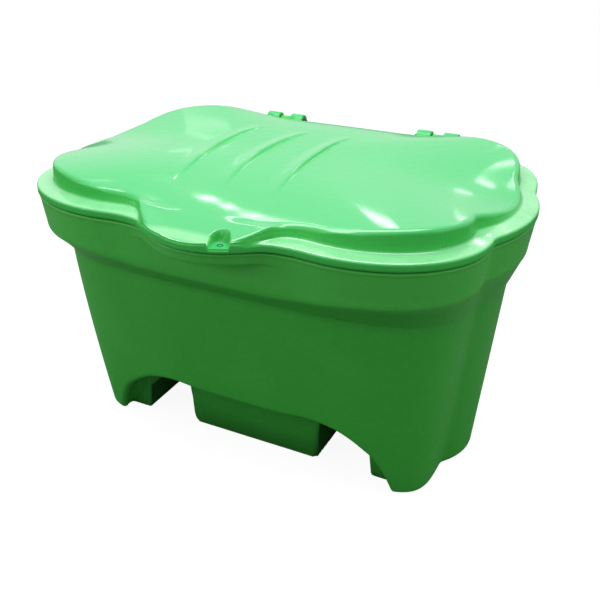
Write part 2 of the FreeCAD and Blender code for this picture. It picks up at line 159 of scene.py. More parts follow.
class BinFinish(bpy.types.PropertyGroup):
    """Colours and gloss of the moulded plastic."""
    lid_colour: sized("Lid", "Base colour of the lid", (0.050, 0.485, 0.080), COLOUR)
    tub_colour: sized("Tub", "Base colour of the tub", (0.044, 0.450, 0.046), COLOUR)
    lid_roughness: sized("Lid roughness", "Roughness of the lid's gloss", 0.34, FACTOR)
    tub_roughness: sized("Tub roughness", "Roughness of the tub's satin", 0.42, FACTOR)


class BinStage(bpy.types.PropertyGroup):
    """The camera and the floor."""
    camera_place: sized("Camera", "Place of the camera", (0.944, -1.8762, 1.431), PLACE)
    camera_azimuth: sized(
        "Azimuth", "Turn of the camera round the bin", math.radians(26.88), ANGLE)
    camera_pitch: sized("Pitch", "Downward tilt of the camera", math.radians(27.82), ANGLE)
    floor_colour: sized("Floor", "Colour of the floor", (0.20, 0.20, 0.20), COLOUR)


# Surfaces
def soft_max(first, second, blend):
    """The larger of two arrays, with the change from one to the other rounded over blend."""
    top = np.maximum(first, second)
    return top + blend * np.log(np.exp((first - top) / blend) + np.exp((second - top) / blend))


def soft_min(first, second, blend):
    """The smaller of two arrays, rounded likewise."""
    return -soft_max(-first, -second, blend)


def smooth_step(values, low, high):
    """0 below low, 1 above high, and an S curve between: 3t squared minus 2t cubed."""
    t = np.clip((values - low) / (high - low), 0.0, 1.0)
    return t * t * (3.0 - 2.0 * t)


def unit_vectors(vectors):
    """Vectors of the same directions and length 1."""
    return vectors / np.linalg.norm(vectors, axis=-1, keepdims=True)


def raised(plan, z):
    """Plan positions lifted to their heights."""
    return np.concatenate((plan, np.broadcast_to(z, plan.shape[:-1])[..., None]), axis=-1)


def quarter(*degrees):
    """How far back and how far below a rounded edge is at angles: 1 - cos and 1 - sin."""
    t = np.radians(degrees or (0.0, 30.0, 60.0, 90.0))
    return list(zip(1 - np.cos(t), 1 - np.sin(t)))


def four_sided(*corners):
    """Faces from the numbers of their first, second, third and fourth corners."""
    return np.stack(corners, axis=-1).reshape(-1, 4)


def ellipse_reach(centre_x, centre_y, half_x, half_y, dx, dy):
    """Distance from the origin along (dx, dy) to the far side of an ellipse, or 0 where it
    misses: the larger root of square * r^2 - 2 * along * r + rest = 0."""
    square = (dx / half_x) ** 2 + (dy / half_y) ** 2
    along = centre_x * dx / half_x ** 2 + centre_y * dy / half_y ** 2
    rest = (centre_x / half_x) ** 2 + (centre_y / half_y) ** 2 - 1.0
    inside = along ** 2 - square * rest
    far = (along + np.sqrt(np.maximum(inside, 0.0))) / square
    return np.where((inside > 0) & (along > 0), far, 0.0)


def inset(level, amount):
    """An outline's numbers with the outline drawn in by an amount."""
    return np.asarray(level) - np.multiply.outer(amount, SHRINKING)


def plan_row(shape, angle, level, lobe_inset=None):
    """Points of an outline in plan, at angles round the outlines' centre. level's last axis
    holds the outline's numbers. The core's reach is (|cos/a|^n + |sin/b|^n)^(-1/n), softly
    joined to that of the end arcs and, in front, of the corner lobes. A lobe_inset joins it
    to the arc over the lock too, drawn in by that much."""
    level = np.moveaxis(np.asarray(level), -1, 0)
    arc_reach, arc_radius, arc_y, corner_x, corner_y, corner_a, corner_b = level[6:]
    dx, dy, middle = np.cos(angle), np.sin(angle), shape.centre_y
    ahead, side = dy < 0, np.where(dx >= 0, 1.0, -1.0)
    a, b, n = [np.where(ahead, front, back) for front, back in zip(level[3:6], level[:3])]
    core = (np.abs(dx / a) ** n + np.abs(dy / b) ** n) ** (-1.0 / n)
    arc_x = side * (arc_reach - arc_radius)
    end = ellipse_reach(arc_x, arc_y - middle, arc_radius, arc_radius, dx, dy)
    corner = ellipse_reach(side * corner_x, corner_y - middle, corner_a, corner_b, dx, dy)
    reach = soft_max(soft_max(core, end, shape.crease), np.where(ahead, corner, 0.0), shape.crease)
    if lobe_inset is not None:
        lobe_y = shape.lobe_reach + shape.lobe_radius - middle
        radius = shape.lobe_radius - lobe_inset
        lobe = ellipse_reach(0.0, lobe_y, radius, radius, dx, dy)
        lobed = soft_max(reach, lobe, shape.lobe_crease)
        reach = np.where((lobe > 0) & ahead, lobed, reach)
    return np.stack((reach * dx, middle + reach * dy), axis=-1)


def rim_row(shape, angle, amount, lobe_inset=None):
    """The rim's outline in plan, drawn in by an amount."""
    return plan_row(shape, angle, inset(shape.rim, amount), lobe_inset)


def level_row(shape, angle, amount, z, lobe_inset=None):
    """The same row lifted to a height."""
    return raised(rim_row(shape, angle, amount, lobe_inset), z)


def spaced(breaks, pitches):
    """Line positions from break to break, each stretch at its own pitch."""
    parts = [np.linspace(a, b, max(2, round((b - a) / pitch) + 1))[:-1]
             for a, b, pitch in zip(breaks, breaks[1:], pitches)]
    return np.append(np.concatenate(parts), breaks[-1])


def both_sides(half):
    """Line positions mirrored about 0, from a list that starts at 0."""
    return np.concatenate((-half[:0:-1], half))


class Grid:
    """A rectangle of crossing lines whose border ring is shared with rows of ring points."""

    def __init__(self, lines_x, lines_y):
        self.lines_x, self.lines_y = lines_x, lines_y
        columns, rows = len(lines_x), len(lines_y)
        i, j = np.arange(columns), np.arange(rows)
        front, back = np.zeros(columns, int), np.full(columns - 1, rows - 1)
        left, right = np.zeros(rows - 2, int), np.full(rows - 1, columns - 1)
        self.border_i = np.concatenate((i, right, i[-2::-1], left))
        self.border_j = np.concatenate((front, j[1:], back, j[-2:0:-1]))
        self.angle = np.arctan2(lines_y[self.border_j], lines_x[self.border_i])

    def fill(self, shape, ring, power):
        """Plan positions of the whole grid with its border moved onto a ring. Each border
        point's move fades inwards as (1 - distance)^power, a Coons patch of the moves."""
        x, y = np.meshgrid(self.lines_x, self.lines_y + shape.centre_y, indexing="ij")
        plain = np.stack((x, y), axis=-1)
        moved = np.zeros_like(plain)
        moved[self.border_i, self.border_j] = ring - plain[self.border_i, self.border_j]
        u = (self.lines_x - self.lines_x[0]) / np.ptp(self.lines_x)
        v = (self.lines_y - self.lines_y[0]) / np.ptp(self.lines_y)
        left, right = ((1 - u) ** power)[:, None, None], (u ** power)[:, None, None]
        front, back = ((1 - v) ** power)[None, :, None], (v ** power)[None, :, None]
        total = left * moved[:1] + right * moved[-1:] + front * moved[:, :1] + back * moved[:, -1:]
        for weight_x, row in ((left, 0), (right, -1)):
            for weight_y, column in ((front, 0), (back, -1)):
                total = total - weight_x * weight_y * moved[row, column]
        return plain + total


def shell(grid, first, rows, last):
    """A closed skin: a filled grid, ring rows from its border, then a second filled grid. The
    first and last rows are the grids' borders, and all faces point out of the material."""
    count = rows.shape[1]
    ring_ids = np.arange(rows.shape[0] * count).reshape(-1, count)
    ahead = np.roll(ring_ids, -1, axis=1)
    inner = np.ones(first.shape[:2], bool)
    inner[grid.border_i, grid.border_j] = False
    points = [rows.reshape(-1, 3)]
    faces = [four_sided(ring_ids[:-1], ahead[:-1], ahead[1:], ring_ids[1:])]
    start = ring_ids.size
    for filled, ring, turned in ((first, ring_ids[0], True), (last, ring_ids[-1], False)):
        ids = np.empty(filled.shape[:2], int)
        ids[inner] = start + np.arange(inner.sum())
        ids[grid.border_i, grid.border_j] = ring
        start += int(inner.sum())
        points.append(filled[inner])
        plain = four_sided(ids[:-1, :-1], ids[1:, :-1], ids[1:, 1:], ids[:-1, 1:])
        faces.append(plain[:, ::-1] if turned else plain)
    return np.concatenate(points), np.concatenate(faces)


def eye(hinge, middle, half_width, radius, bore, arm):
    """A hinge eye with an arm, as one closed grid round the hinge axis. At each angle the
    outer reach is the larger of the round end and a bar: bar half height / |sin|, cut at
    length / cos. The section runs along the outside, over both ends and through the bore."""
    turns, edge, tiny = 96, 0.003, 1e-3
    arm_length, arm_half, arm_angle = arm
    angle = np.linspace(0.0, 2 * np.pi, turns, endpoint=False)
    along, across = np.cos(angle - arm_angle), np.abs(np.sin(angle - arm_angle))
    bar = np.minimum(arm_length / np.maximum(along, tiny), arm_half / np.maximum(across, tiny))
    outer = soft_max(np.full(turns, radius), np.where(along > 0, bar, 0.0), 0.002)
    x0, x1 = middle - half_width, middle + half_width
    bend = quarter()
    stations = [(x0 + edge * fall, outer - edge * back) for back, fall in bend[::-1]]
    stations += [(x1 - edge * fall, outer - edge * back) for back, fall in bend]
    stations += [(x1, bore), (x0, bore)]
    y, z = hinge.axis_y, hinge.axis_z
    rows = [(np.full(turns, x), y + r * np.cos(angle), z + r * np.sin(angle)) for x, r in stations]
    points = np.moveaxis(np.array(rows), 1, -1)
    ids = np.arange(points.shape[0] * turns).reshape(-1, turns)
    ahead, after = np.roll(ids, -1, axis=1), np.roll(ids, -1, axis=0)
    faces = four_sided(ids, ahead, np.roll(after, -1, axis=1), after)
    return points.reshape(-1, 3), faces[:, ::-1]


def joined(parts):
    """Several (points, faces) pairs as one."""
    points, faces, start = [], [], 0
    for part_points, part_faces in parts:
        points.append(part_points)
        faces.append(part_faces + start)
        start += len(part_points)
    return np.concatenate(points), np.concatenate(faces)


def make_object(name, points, faces, material):
    """A smooth shaded mesh object at the origin, from arrays of points and four-sided faces."""
    mesh = bpy.data.meshes.new(name)
    mesh.vertices.add(len(points))
    mesh.vertices.foreach_set("co", np.asarray(points, np.float32).ravel())
    mesh.loops.add(faces.size)
    mesh.loops.foreach_set("vertex_index", faces.ravel().astype(np.int32))
    mesh.polygons.add(len(faces))
    mesh.polygons.foreach_set("loop_start", np.arange(0, faces.size, 4, dtype=np.int32))
    mesh.polygons.foreach_set("use_smooth", np.ones(len(faces), bool))
    mesh.update(calc_edges=True)
    if mesh.validate():
        raise RuntimeError(name + " has faces that Blender had to repair")
    mesh.materials.append(material)
    made = bpy.data.objects.new(name, mesh)
    bpy.context.scene.collection.objects.link(made)
    return made


# The tub's surface. Points of the arch's edge in front: distances from the middle and heights
ARCH_X = np.array((0.0, 0.120, 0.225, 0.300, 0.356, 0.392, 0.418, 0.434, 0.446))
ARCH_Z = np.array((0.183, 0.184, 0.192, 0.175, 0.139, 0.104, 0.055, 0.006, -0.050))
ARCH_CEILING = 0.30

# Where the rise of the collar's lower corner starts and ends, the heights between which it
# fades out, and how much of it the collar moves out by
RISE_START_X, RISE_END_X = 0.160, 0.420
RISE_FADE_Z, RISE_GONE_Z = 0.614, 0.667
RISE_LEAN = 0.1

# Rows of the collar over the lock: distance below its top, and how far its front lobe stays
# behind the rim's
COLLAR_LOBE = (
    (0.102, 0.190), (0.090, 0.190), (0.075, 0.190), (0.055, 0.190), (0.043, 0.190),
    (0.037, 0.160), (0.0345, 0.110), (0.0335, 0.070), (0.0325, 0.040), (0.0315, 0.024),
    (0.030, 0.016), (0.0275, 0.0128), (0.022, 0.012), (0.014, 0.0105), (0.007, 0.009))


def wall_profile(past, height, foot_round, top_round, lean):
    """Height at a distance past the foot of a moulded wall: a foot arc, a leaning face and a
    top arc, each a quarter circle."""
    foot = np.minimum(foot_round, height / 2)
    top = np.minimum(top_round, height / 2)
    low = foot - np.sqrt(np.maximum(foot ** 2 - np.clip(past + foot, 0.0, foot) ** 2, 0.0))
    face = foot + (height - foot - top) * np.clip(past / lean, 0.0, 1.0)
    over = np.clip(past - lean, 0.0, top)
    high = height - top + np.sqrt(np.maximum(top ** 2 - (top - over) ** 2, 0.0))
    return np.where(past < 0, low, np.where(past < lean, face, high))


def arch_height(x, grow):
    """Lower edge of the front wall over |x|: cubic Hermite pieces through the arch's points,
    with slopes weighted between neighbours, that fall to the ground at the foot."""
    steps, slopes = np.diff(ARCH_X), np.diff(ARCH_Z) / np.diff(ARCH_X)
    inner = (slopes[:-1] * steps[1:] + slopes[1:] * steps[:-1]) / (steps[:-1] + steps[1:])
    tangent = np.concatenate(((0.0,), inner, slopes[-1:]))
    fine_x = np.linspace(0.0, ARCH_X[-1], 400)
    k = np.clip(np.searchsorted(ARCH_X, fine_x, side="right") - 1, 0, len(steps) - 1)
    t = (fine_x - ARCH_X[k]) / steps[k]
    over, start, end = smooth_step(t, 0, 1), t * (1 - t) ** 2, t * t * (t - 1)
    curve = (ARCH_Z[k] * (1 - over) + ARCH_Z[k + 1] * over
             + steps[k] * (tangent[k] * start + tangent[k + 1] * end))
    raw = np.interp(np.abs(x) - grow, fine_x, curve)
    return soft_max(raw, np.zeros_like(raw), 0.011) + grow


def underside_height(shape, tub, x, y, grow):
    """Height of the tub's underside over a point: the higher of a fork tunnel, level but for
    a sloping outer corner, and of the arched recess in front and behind."""
    x, y = np.abs(x), np.abs(y - shape.centre_y)
    top = tub.tunnel_top_z
    from_well = wall_profile(
        x - tub.well_half_width + grow, top, foot_round=0.012, top_round=0.022, lean=0.006)
    past_outer = tub.tunnel_outer_x + grow - x
    from_outer = wall_profile(
        past_outer, top - tub.tunnel_haunch, foot_round=0.014, top_round=0.0001, lean=0.005)
    from_outer = from_outer + np.clip(past_outer, 0.0, tub.tunnel_haunch)
    tunnel = soft_min(from_well, from_outer, 0.004)
    arch = np.maximum(arch_height(x, grow) - grow, 0.0)
    recess = wall_profile(
        y - tub.recess_y + grow, arch, foot_round=0.012, top_round=0.020, lean=0.006)
    return soft_max(tunnel, recess, 0.003) + grow


def wall_points(shape, tub, angle, z, skin):
    """Points of the wall at plan angles and heights, as it tapers between two outlines."""
    share = (z - tub.foot_round) / (tub.wall_top_z - tub.foot_round)
    level = np.add(tub.foot, np.multiply.outer(share, np.subtract(tub.wall_top, tub.foot)))
    return raised(plan_row(shape, angle, inset(level, skin)), z)


def wall_rows(shape, tub, angle, skin, count):
    """Rows from the border of the underside, round the lower edge and up to the wall's top.
    The lower edge is where the wall meets the arch's height, found by halving. It is rounded
    by a quarter circle between the wall's own normal and the direction in the wall square to
    the edge, and the rows above turn from that edge's angles back to the plain ones."""
    low, high = np.zeros_like(angle), np.full_like(angle, ARCH_CEILING)
    for _ in range(40):
        middle = (low + high) / 2
        above = middle > arch_height(wall_points(shape, tub, angle, middle, skin)[:, 0], skin)
        high, low = np.where(above, middle, high), np.where(above, low, middle)
    edge_z = (low + high) / 2
    edge = wall_points(shape, tub, angle, edge_z, skin)
    step = 1e-4
    across = wall_points(shape, tub, angle + step, edge_z, skin) - edge
    upward = wall_points(shape, tub, angle, edge_z + step, skin) - edge
    normal = unit_vectors(np.cross(across, upward))
    tangent = unit_vectors(np.roll(edge, -1, axis=0) - np.roll(edge, 1, axis=0))
    inward = unit_vectors(np.cross(normal, tangent))
    radius = tub.foot_round - skin / 2
    start = edge + radius * inward
    arc = [start - radius * normal + radius * (normal * np.cos(t) - inward * np.sin(t))
           for t in np.radians((90.0, 72.0, 54.0, 36.0, 18.0))]
    start_angle = np.unwrap(np.arctan2(start[:, 1] - shape.centre_y, start[:, 0]))
    plain_angle = np.unwrap(angle)
    start_angle += 2 * np.pi * np.round((plain_angle - start_angle) / (2 * np.pi))
    share = (np.linspace(0.0, 1.0, count) ** 1.3)[:, None]
    turn = start_angle + (plain_angle - start_angle) * (1 - (1 - share) ** 3)
    heights = start[:, 2] + (tub.wall_top_z - start[:, 2]) * share
    return np.concatenate((np.stack(arc), wall_points(shape, tub, turn, heights, skin)))


def collar_row(shape, tub, angle, z, amount, lobe_inset=None):
    """A level of the collar. Its lower corner rises by an S curve in |x|, from nothing in the
    middle of the front to the whole rise at the corner lobes and the ends, and the rise fades
    out above it. What rises moves out, because the collar leans."""
    x = np.abs(rim_row(shape, angle, tub.collar_insets[0])[:, 0])
    whole = tub.collar_rise * smooth_step(x, RISE_START_X, RISE_END_X)
    rise = whole * np.clip((RISE_GONE_Z - z) / (RISE_GONE_Z - RISE_FADE_Z), 0.0, 1.0)
    return level_row(shape, angle, amount - RISE_LEAN * rise, z + rise, lobe_inset)


def soffit_rows(shape, tub, angle, skin, count):
    """Rows from the wall's top out to the collar's lower corner and up to the collar's foot:
    a straight slope between two outlines, closer set at the crease it starts from."""
    foot = collar_row(shape, tub, angle, tub.collar_heights[0], tub.collar_insets[0] + skin)
    start = raised(plan_row(shape, angle, inset(tub.wall_top, skin)), tub.wall_top_z)
    share = np.concatenate(((0.012, 0.03), np.linspace(0.06, 1.0, count)))[:, None, None]
    corner = [collar_row(shape, tub, angle, height, amount + skin)
              for height, amount in zip(tub.collar_heights[1:5], tub.collar_insets[1:5])]
    return np.concatenate((start + (foot - start) * share, np.stack(corner)))


def collar_rows(shape, tub, angle):
    """Outer rows of the collar. Over the lock its upper part swells out to carry the lid's
    front lobe, and the swelling draws back quickly below. The top edge is rounded."""
    top, edge = tub.collar_top_z, 0.006
    rows = []
    for drop, lobe_inset in COLLAR_LOBE:
        amount = np.interp(top - drop, tub.collar_heights, tub.collar_insets)
        rows.append(collar_row(shape, tub, angle, top - drop, amount, lobe_inset))
    for back, fall in quarter():
        amount, lobe_inset = tub.collar_insets[-1] + edge * back, 0.008 + edge * back
        rows.append(level_row(shape, angle, amount, top - edge * fall, lobe_inset))
    return np.stack(rows)


def mouth_rows(shape, tub, angle):
    """Rows from the collar's top over the upstand round the mouth and out under its plate."""
    top, skin, edge = tub.collar_top_z, tub.skin, 0.0015
    mouth, upstand, rise = 0.039, 0.005, 0.018
    out, under = mouth - upstand, tub.collar_insets[-1] + skin
    places = (
        (out - 0.004, 0.0), (out - 0.001, 0.001), (out, 0.004), (out, rise - edge),
        (out + edge, rise), (mouth - edge, rise), (mouth, rise - edge), (mouth, edge - skin),
        (mouth - edge, -skin), (under + 0.004, -skin), (under, -skin - 0.004))
    return np.stack([level_row(shape, angle, amount, top + up) for amount, up in places])


def tub_surface(shape, tub):
    """The tub's closed skin, from the underside up the outside, over the mouth and down
    inside. The grids are finest at the walls of the well and the tunnels."""
    half_x = spaced((0.0, 0.188, 0.216, 0.348, 0.440, 0.545),
                    (0.013, 0.0028, 0.010, 0.0034, 0.0075))
    half_y = spaced((0.0, 0.190, 0.222, 0.255), (0.0075, 0.0032, 0.0055))
    grid = Grid(both_sides(half_x), both_sides(half_y))
    angle = grid.angle
    rows = np.concatenate((
        wall_rows(shape, tub, angle, 0.0, 24),
        soffit_rows(shape, tub, angle, 0.0, 5),
        collar_rows(shape, tub, angle),
        mouth_rows(shape, tub, angle),
        soffit_rows(shape, tub, angle, tub.skin, 2)[::-1],
        wall_rows(shape, tub, angle, tub.skin, 12)[::-1]))
    filled = []
    for ring, grow in ((rows[0], 0.0), (rows[-1], tub.skin)):
        plan = grid.fill(shape, ring[:, :2], 8)
        z = underside_height(shape, tub, plan[..., 0], plan[..., 1], grow)
        z[grid.border_i, grid.border_j] = ring[:, 2]
        filled.append(raised(plan, z))
    return shell(grid, filled[0], rows, filled[1])


# The lid's surface. Crests of the ribs in plan, each from back to front
RIDGES = (
    ((-0.177, 0.205), (-0.198, 0.103), (-0.201, 0.015),
     (-0.192, -0.080), (-0.180, -0.167), (-0.166, -0.300)),
    ((-0.034, 0.210), (-0.052, 0.099), (-0.058, -0.020),
     (-0.053, -0.111), (-0.040, -0.217), (-0.028, -0.300)),
    ((0.096, 0.217), (0.084, 0.086), (0.084, -0.028),
     (0.090, -0.114), (0.099, -0.201), (0.108, -0.300)))

# Radii of the lid's section
EDGE_OUTSIDE, EDGE_INSIDE, FOOT_CHAMFER, FILLET, TOP_ROUND = 0.007, 0.003, 0.0015, 0.007, 0.012
# How much the panel's wall leans in over the front lobe
LOBE_LEAN = 0.002


def ridge_height(lid, x, y):
    """Three ribs that rise slowly from the left and drop steeply on the right, tallest a little
    behind the middle and fading to both ends: height * sin of pi * way along^0.85. Each
    crest follows a few points, x as the cubic in y nearest to them."""
    total = np.zeros_like(x)
    slow, steep = 0.050, 0.0080
    for points in RIDGES:
        crest_x, crest_y = np.transpose(points)
        back, front = crest_y[0], crest_y[-1]
        curve = np.polyfit(crest_y, crest_x, 3)
        side = x - np.polyval(curve, np.clip(y, front, back))
        along = np.clip((back - y) / (back - front), 0.0, 1.0)
        fade = np.sin(np.pi * along ** 0.85)
        rise = smooth_step(side, -slow, 0.0) ** 1.5
        fall = smooth_step(-side, -steep, 0.0)
        total += lid.ridge_height * fade * np.where(side < 0, rise, fall)
    return total


def pocket_share(shape, lid, x, y, grow):
    """1 inside the lock pocket, 0 outside: round at the back, and open and slightly flared
    towards the front, square to the front lobe's edge."""
    centre_x, centre_y, _ = lid.lock
    flare = 0.10
    turn = np.arctan2(centre_x, shape.lobe_reach + shape.lobe_radius - centre_y)
    off_x, off_y = x - centre_x, y - centre_y
    out = off_x * np.sin(turn) - off_y * np.cos(turn)
    across = np.abs(off_x * np.cos(turn) + off_y * np.sin(turn))
    half = lid.pocket_width / 2 + grow
    depth = np.where(out < 0, half - np.hypot(out, across), half + flare * out - across)
    return smooth_step(depth, -0.0005, 0.0035)


def panel_height(shape, lid, x, y, drop):
    """Height of the panel: a dome crown - (crown - edge) * (|u|^3 + |v|^3), where u and v are
    1 at the panel's halves and the edge's height rises at the corner lobes. Over the front
    lobe the dome runs on past the outline, with shoulders that rise with x squared. The ribs
    are added and the lock pocket taken out."""
    u, v = x / lid.panel_halves[0], (y - shape.centre_y) / lid.panel_halves[1]
    square = np.maximum(u ** 2 + v ** 2, 1e-9)
    narrowing = 1 + np.where(v < 0, 4, 6) * np.maximum(v ** 2 / square - 0.5, 0.0)
    corner = (2 * np.abs(u * v) / square) ** (2 * narrowing)
    lift, tilt = 0.004 * v ** 2, 0.002 * v
    edge_z = lid.edge_z + lid.edge_rise * corner + lift + tilt
    dome = lid.crown_z - (lid.crown_z - edge_z) * (np.abs(u) ** 3 + np.abs(v) ** 3)
    shoulder = 0.36 * x ** 2 * smooth_step(-y, 0.405, 0.435)
    top = dome + shoulder + ridge_height(lid, x, y)
    sunk = top - np.maximum(top - lid.lock[2], 0.0) * pocket_share(shape, lid, x, y, drop)
    return sunk - drop


def lid_rows(shape, lid, angle, drop):
    """Rows from the flange's lower edge up its side, over the shelf, up the panel's wall and
    round its edge. drop draws the whole section in for the inside. Each row has an inset of
    its own for the front lobe, where the section keeps close to the rim. Where the shelf runs
    out beside that lobe, the flange's side and the wall become one straight face."""
    rows = []

    def add(amount, lobe, z):
        rows.append(level_row(shape, angle, amount + drop, z, lobe + drop))

    def panel_z(amount, lobe):
        plan = rim_row(shape, angle, amount + drop, lobe + drop)
        return panel_height(shape, lid, plan[:, 0], plan[:, 1], drop)

    # The shelf just inside the rim: level, but never far over the panel, and sunk in the pocket
    rim = rim_row(shape, angle, 0.004, 0.004)
    sink = pocket_share(shape, lid, rim[:, 0], rim[:, 1], drop)
    panel = panel_height(shape, lid, rim[:, 0], rim[:, 1], 0.0)
    nose = np.minimum(lid.flange_top_z, panel + 0.003)
    shelf_z = nose - drop - np.maximum(nose - lid.lock[2], 0.0) * sink
    inner_shelf_z = shelf_z + lid.shelf_slope

    # The flange's side and its rounded edge
    edge = EDGE_OUTSIDE if drop == 0 else EDGE_INSIDE
    foot = lid.foot_z + FOOT_CHAMFER
    low_edge = np.minimum(edge, (shelf_z - foot) * 0.4)
    for share in (0.0, 0.35, 0.7, 1.0):
        add(0.0, 0.0, foot + (shelf_z - low_edge - foot) * share)
    low = len(rows) - 1
    for back, fall in quarter(22.0, 45.0, 68.0, 90.0):
        add(edge * back, 0.15 * edge * back, shelf_z - low_edge * fall)

    # The shelf
    run, lobe_start = lid.foot_inset - FILLET - edge, 0.0011
    for share in (0.3, 0.6, 0.9):
        lobe = lobe_start + (lid.lobe_inset - lobe_start) * share * 0.8
        add(edge + run * share, lobe, shelf_z + lid.shelf_slope * share)

    # The wall, between its fillet and the rounding over it
    lobe_top = lid.lobe_inset + LOBE_LEAN
    crest_z = panel_z(lid.top_inset, lobe_top)
    wall = np.maximum(crest_z - inner_shelf_z, 0.0)
    foot_round, top_round = np.minimum(FILLET, wall * 0.3), np.minimum(TOP_ROUND, wall * 0.45)
    for back, fall in quarter():
        lobe = lid.lobe_inset - 0.0002 * (1 - back)
        add(lid.foot_inset - FILLET * fall, lobe, inner_shelf_z + foot_round * back)
    low_z, high_z = inner_shelf_z + foot_round, crest_z - top_round
    for share in (0.35, 0.7):
        amount = lid.foot_inset + (lid.top_inset - lid.foot_inset) * share
        add(amount, lid.lobe_inset + LOBE_LEAN * share, low_z + (high_z - low_z) * share)
    high = len(rows)
    for back, fall in quarter(0.0, 18.0, 36.0, 54.0, 72.0, 90.0):
        amount, lobe = lid.top_inset + TOP_ROUND * back, lobe_top + TOP_ROUND / 2 * back
        add(amount, lobe, np.maximum(panel_z(amount, lobe) - top_round * fall, shelf_z))
    for amount, lobe in ((0.0635, 0.019), (0.070, 0.025)):
        add(amount, lobe, panel_z(amount, lobe))

    # One straight face where the shelf is narrow and the wall isn't low
    section = np.stack(rows)
    width = np.linalg.norm(section[low, :, :2] - section[high, :, :2], axis=-1)
    merged = (1 - smooth_step(width, 0.007, 0.017)) * smooth_step(wall, 0.005, 0.013)
    share = np.linspace(0.0, 1.0, high - low + 1)[:, None, None]
    plain = section[low] + (section[high] - section[low]) * share
    section[low:high + 1] += (plain - section[low:high + 1]) * merged[:, None]
    return section


def lid_surface(shape, lid):
    """The lid's closed skin, from its inside round the flange's foot and over the top."""
    lines_x = spaced((-0.560, -0.215, -0.140, -0.060, -0.022, 0.035, 0.125, 0.560),
                     (0.0072, 0.0024, 0.0072, 0.0024, 0.0060, 0.0018, 0.0072))
    lines_y = spaced((-0.400, -0.352, -0.330, 0.400), (0.0020, 0.005, 0.0080))
    grid = Grid(lines_x, lines_y)
    angle = grid.angle
    foot = [level_row(shape, angle, amount, lid.foot_z, amount)
            for amount in (lid.skin - 0.001, FOOT_CHAMFER)]
    rows = np.concatenate((
        lid_rows(shape, lid, angle, lid.skin)[::-1], foot, lid_rows(shape, lid, angle, 0.0)))
    filled = []
    for ring, drop in ((rows[0], lid.skin), (rows[-1], 0.0)):
        plan = grid.fill(shape, ring[:, :2], 3)
        filled.append(raised(plan, panel_height(shape, lid, plan[..., 0], plan[..., 1], drop)))
    return shell(grid, filled[0], rows, filled[1])


# Materials
class Value:
    """A number's socket, on which Python's operators add Math nodes."""

    def __init__(self, tree, socket):
        self.tree, self.socket = tree, socket

    def __add__(self, other):
        return self.tree.math("ADD", self, other)

    def __sub__(self, other):
        return self.tree.math("SUBTRACT", self, other)

    def __rsub__(self, other):
        return self.tree.math("SUBTRACT", other, self)

    def __mul__(self, other):
        return self.tree.math("MULTIPLY", self, other)

    def __pow__(self, other):
        return self.tree.math("POWER", self, other)

    __radd__, __rmul__ = __add__, __mul__


class Finish:
    """The nodes of a material, or of a world. node() adds any node: settings, then sockets."""

    def __init__(self, material):
        material.use_nodes = True
        self.material = material
        self.nodes, self.links = material.node_tree.nodes, material.node_tree.links
        self.nodes.clear()

    @cached_property
    def place(self):
        """Positions in the object's frame."""
        return self.node("ShaderNodeTexCoord").outputs["Object"]

    def node(self, kind, settings=None, sockets=None):
        made = self.nodes.new(kind)
        for key, value in (settings or {}).items():
            if key == "ramp":
                self.set_ramp(made.color_ramp, value)
            else:
                setattr(made, key, value)
        for key, value in (sockets or {}).items():
            value = getattr(value, "socket", value)
            if isinstance(value, bpy.types.NodeSocket):
                self.links.new(value, made.inputs[key])
            else:
                made.inputs[key].default_value = value
        return made

    @staticmethod
    def set_ramp(ramp, stops):
        """Grey stops on a colour ramp, as pairs of a position and a level."""
        while len(ramp.elements) < len(stops):
            ramp.elements.new(0.5)
        for element, (position, level) in zip(ramp.elements, stops):
            element.position = position
            element.color = (level, level, level, 1.0)

    def math(self, operation, *values):
        made = self.node("ShaderNodeMath", {"operation": operation}, dict(enumerate(values)))
        return Value(self, made.outputs[0])

    def split(self, vector):
        """The three parts of a vector."""
        parts = self.node("ShaderNodeSeparateXYZ", None, {0: vector}).outputs
        return [Value(self, socket) for socket in parts]

    def noise(self, scale, detail=2.0, stretch=(1.0, 1.0, 1.0), twist=0.0):
        """Noise from 0 to 1 in lumps of about 1 / scale metres, drawn out by stretch."""
        spread = self.node("ShaderNodeMapping", None, {"Vector": self.place, "Scale": stretch})
        made = self.node("ShaderNodeTexNoise", None, {
            "Vector": spread.outputs[0], "Scale": scale, "Detail": detail, "Roughness": 0.5,
            "Distortion": twist})
        return Value(self, made.outputs["Fac"])

    def ramp(self, value, stops):
        """A value sent through a curve of straight pieces."""
        made = self.node("ShaderNodeValToRGB", {"ramp": stops}, {"Fac": value})
        return Value(self, made.outputs["Color"])

    def mix(self, factor, first, second):
        """A colour between two colours or colour sockets."""
        made = self.node("ShaderNodeMix", {"data_type": "RGBA"}, {0: factor, 6: first, 7: second})
        return made.outputs[2]

    def bump(self, height, distance, strength, under=None):
        """A relief of a height in metres, laid over another if one is given."""
        sockets = {"Height": height, "Distance": distance, "Strength": strength}
        if under is not None:
            sockets["Normal"] = under
        return self.node("ShaderNodeBump", None, sockets).outputs[0]

    def finish(self, sockets):
        """The material, finished with a Principled shader."""
        shader = self.node("ShaderNodeBsdfPrincipled", None, sockets)
        self.node("ShaderNodeOutputMaterial", None, {"Surface": shader.outputs[0]})
        return self.material


def shade(colour, factor, lift=0.0):
    """A colour made darker or lighter, as the four numbers that a colour socket takes."""
    return tuple(min(1.0, c * factor + lift) for c in colour) + (1.0,)


WHITE = (1.0, 1.0, 1.0, 1.0)
# SALT is a pale green for a painted reflection of the bright sky on the lid's glossy shelf
SALT = (0.34, 0.73, 0.38, 1.0)
ZINC, ZINC_PALE = (0.50, 0.51, 0.52, 1.0), (0.72, 0.73, 0.74, 1.0)
STAIN = (0.42, 0.40, 0.37, 1.0)


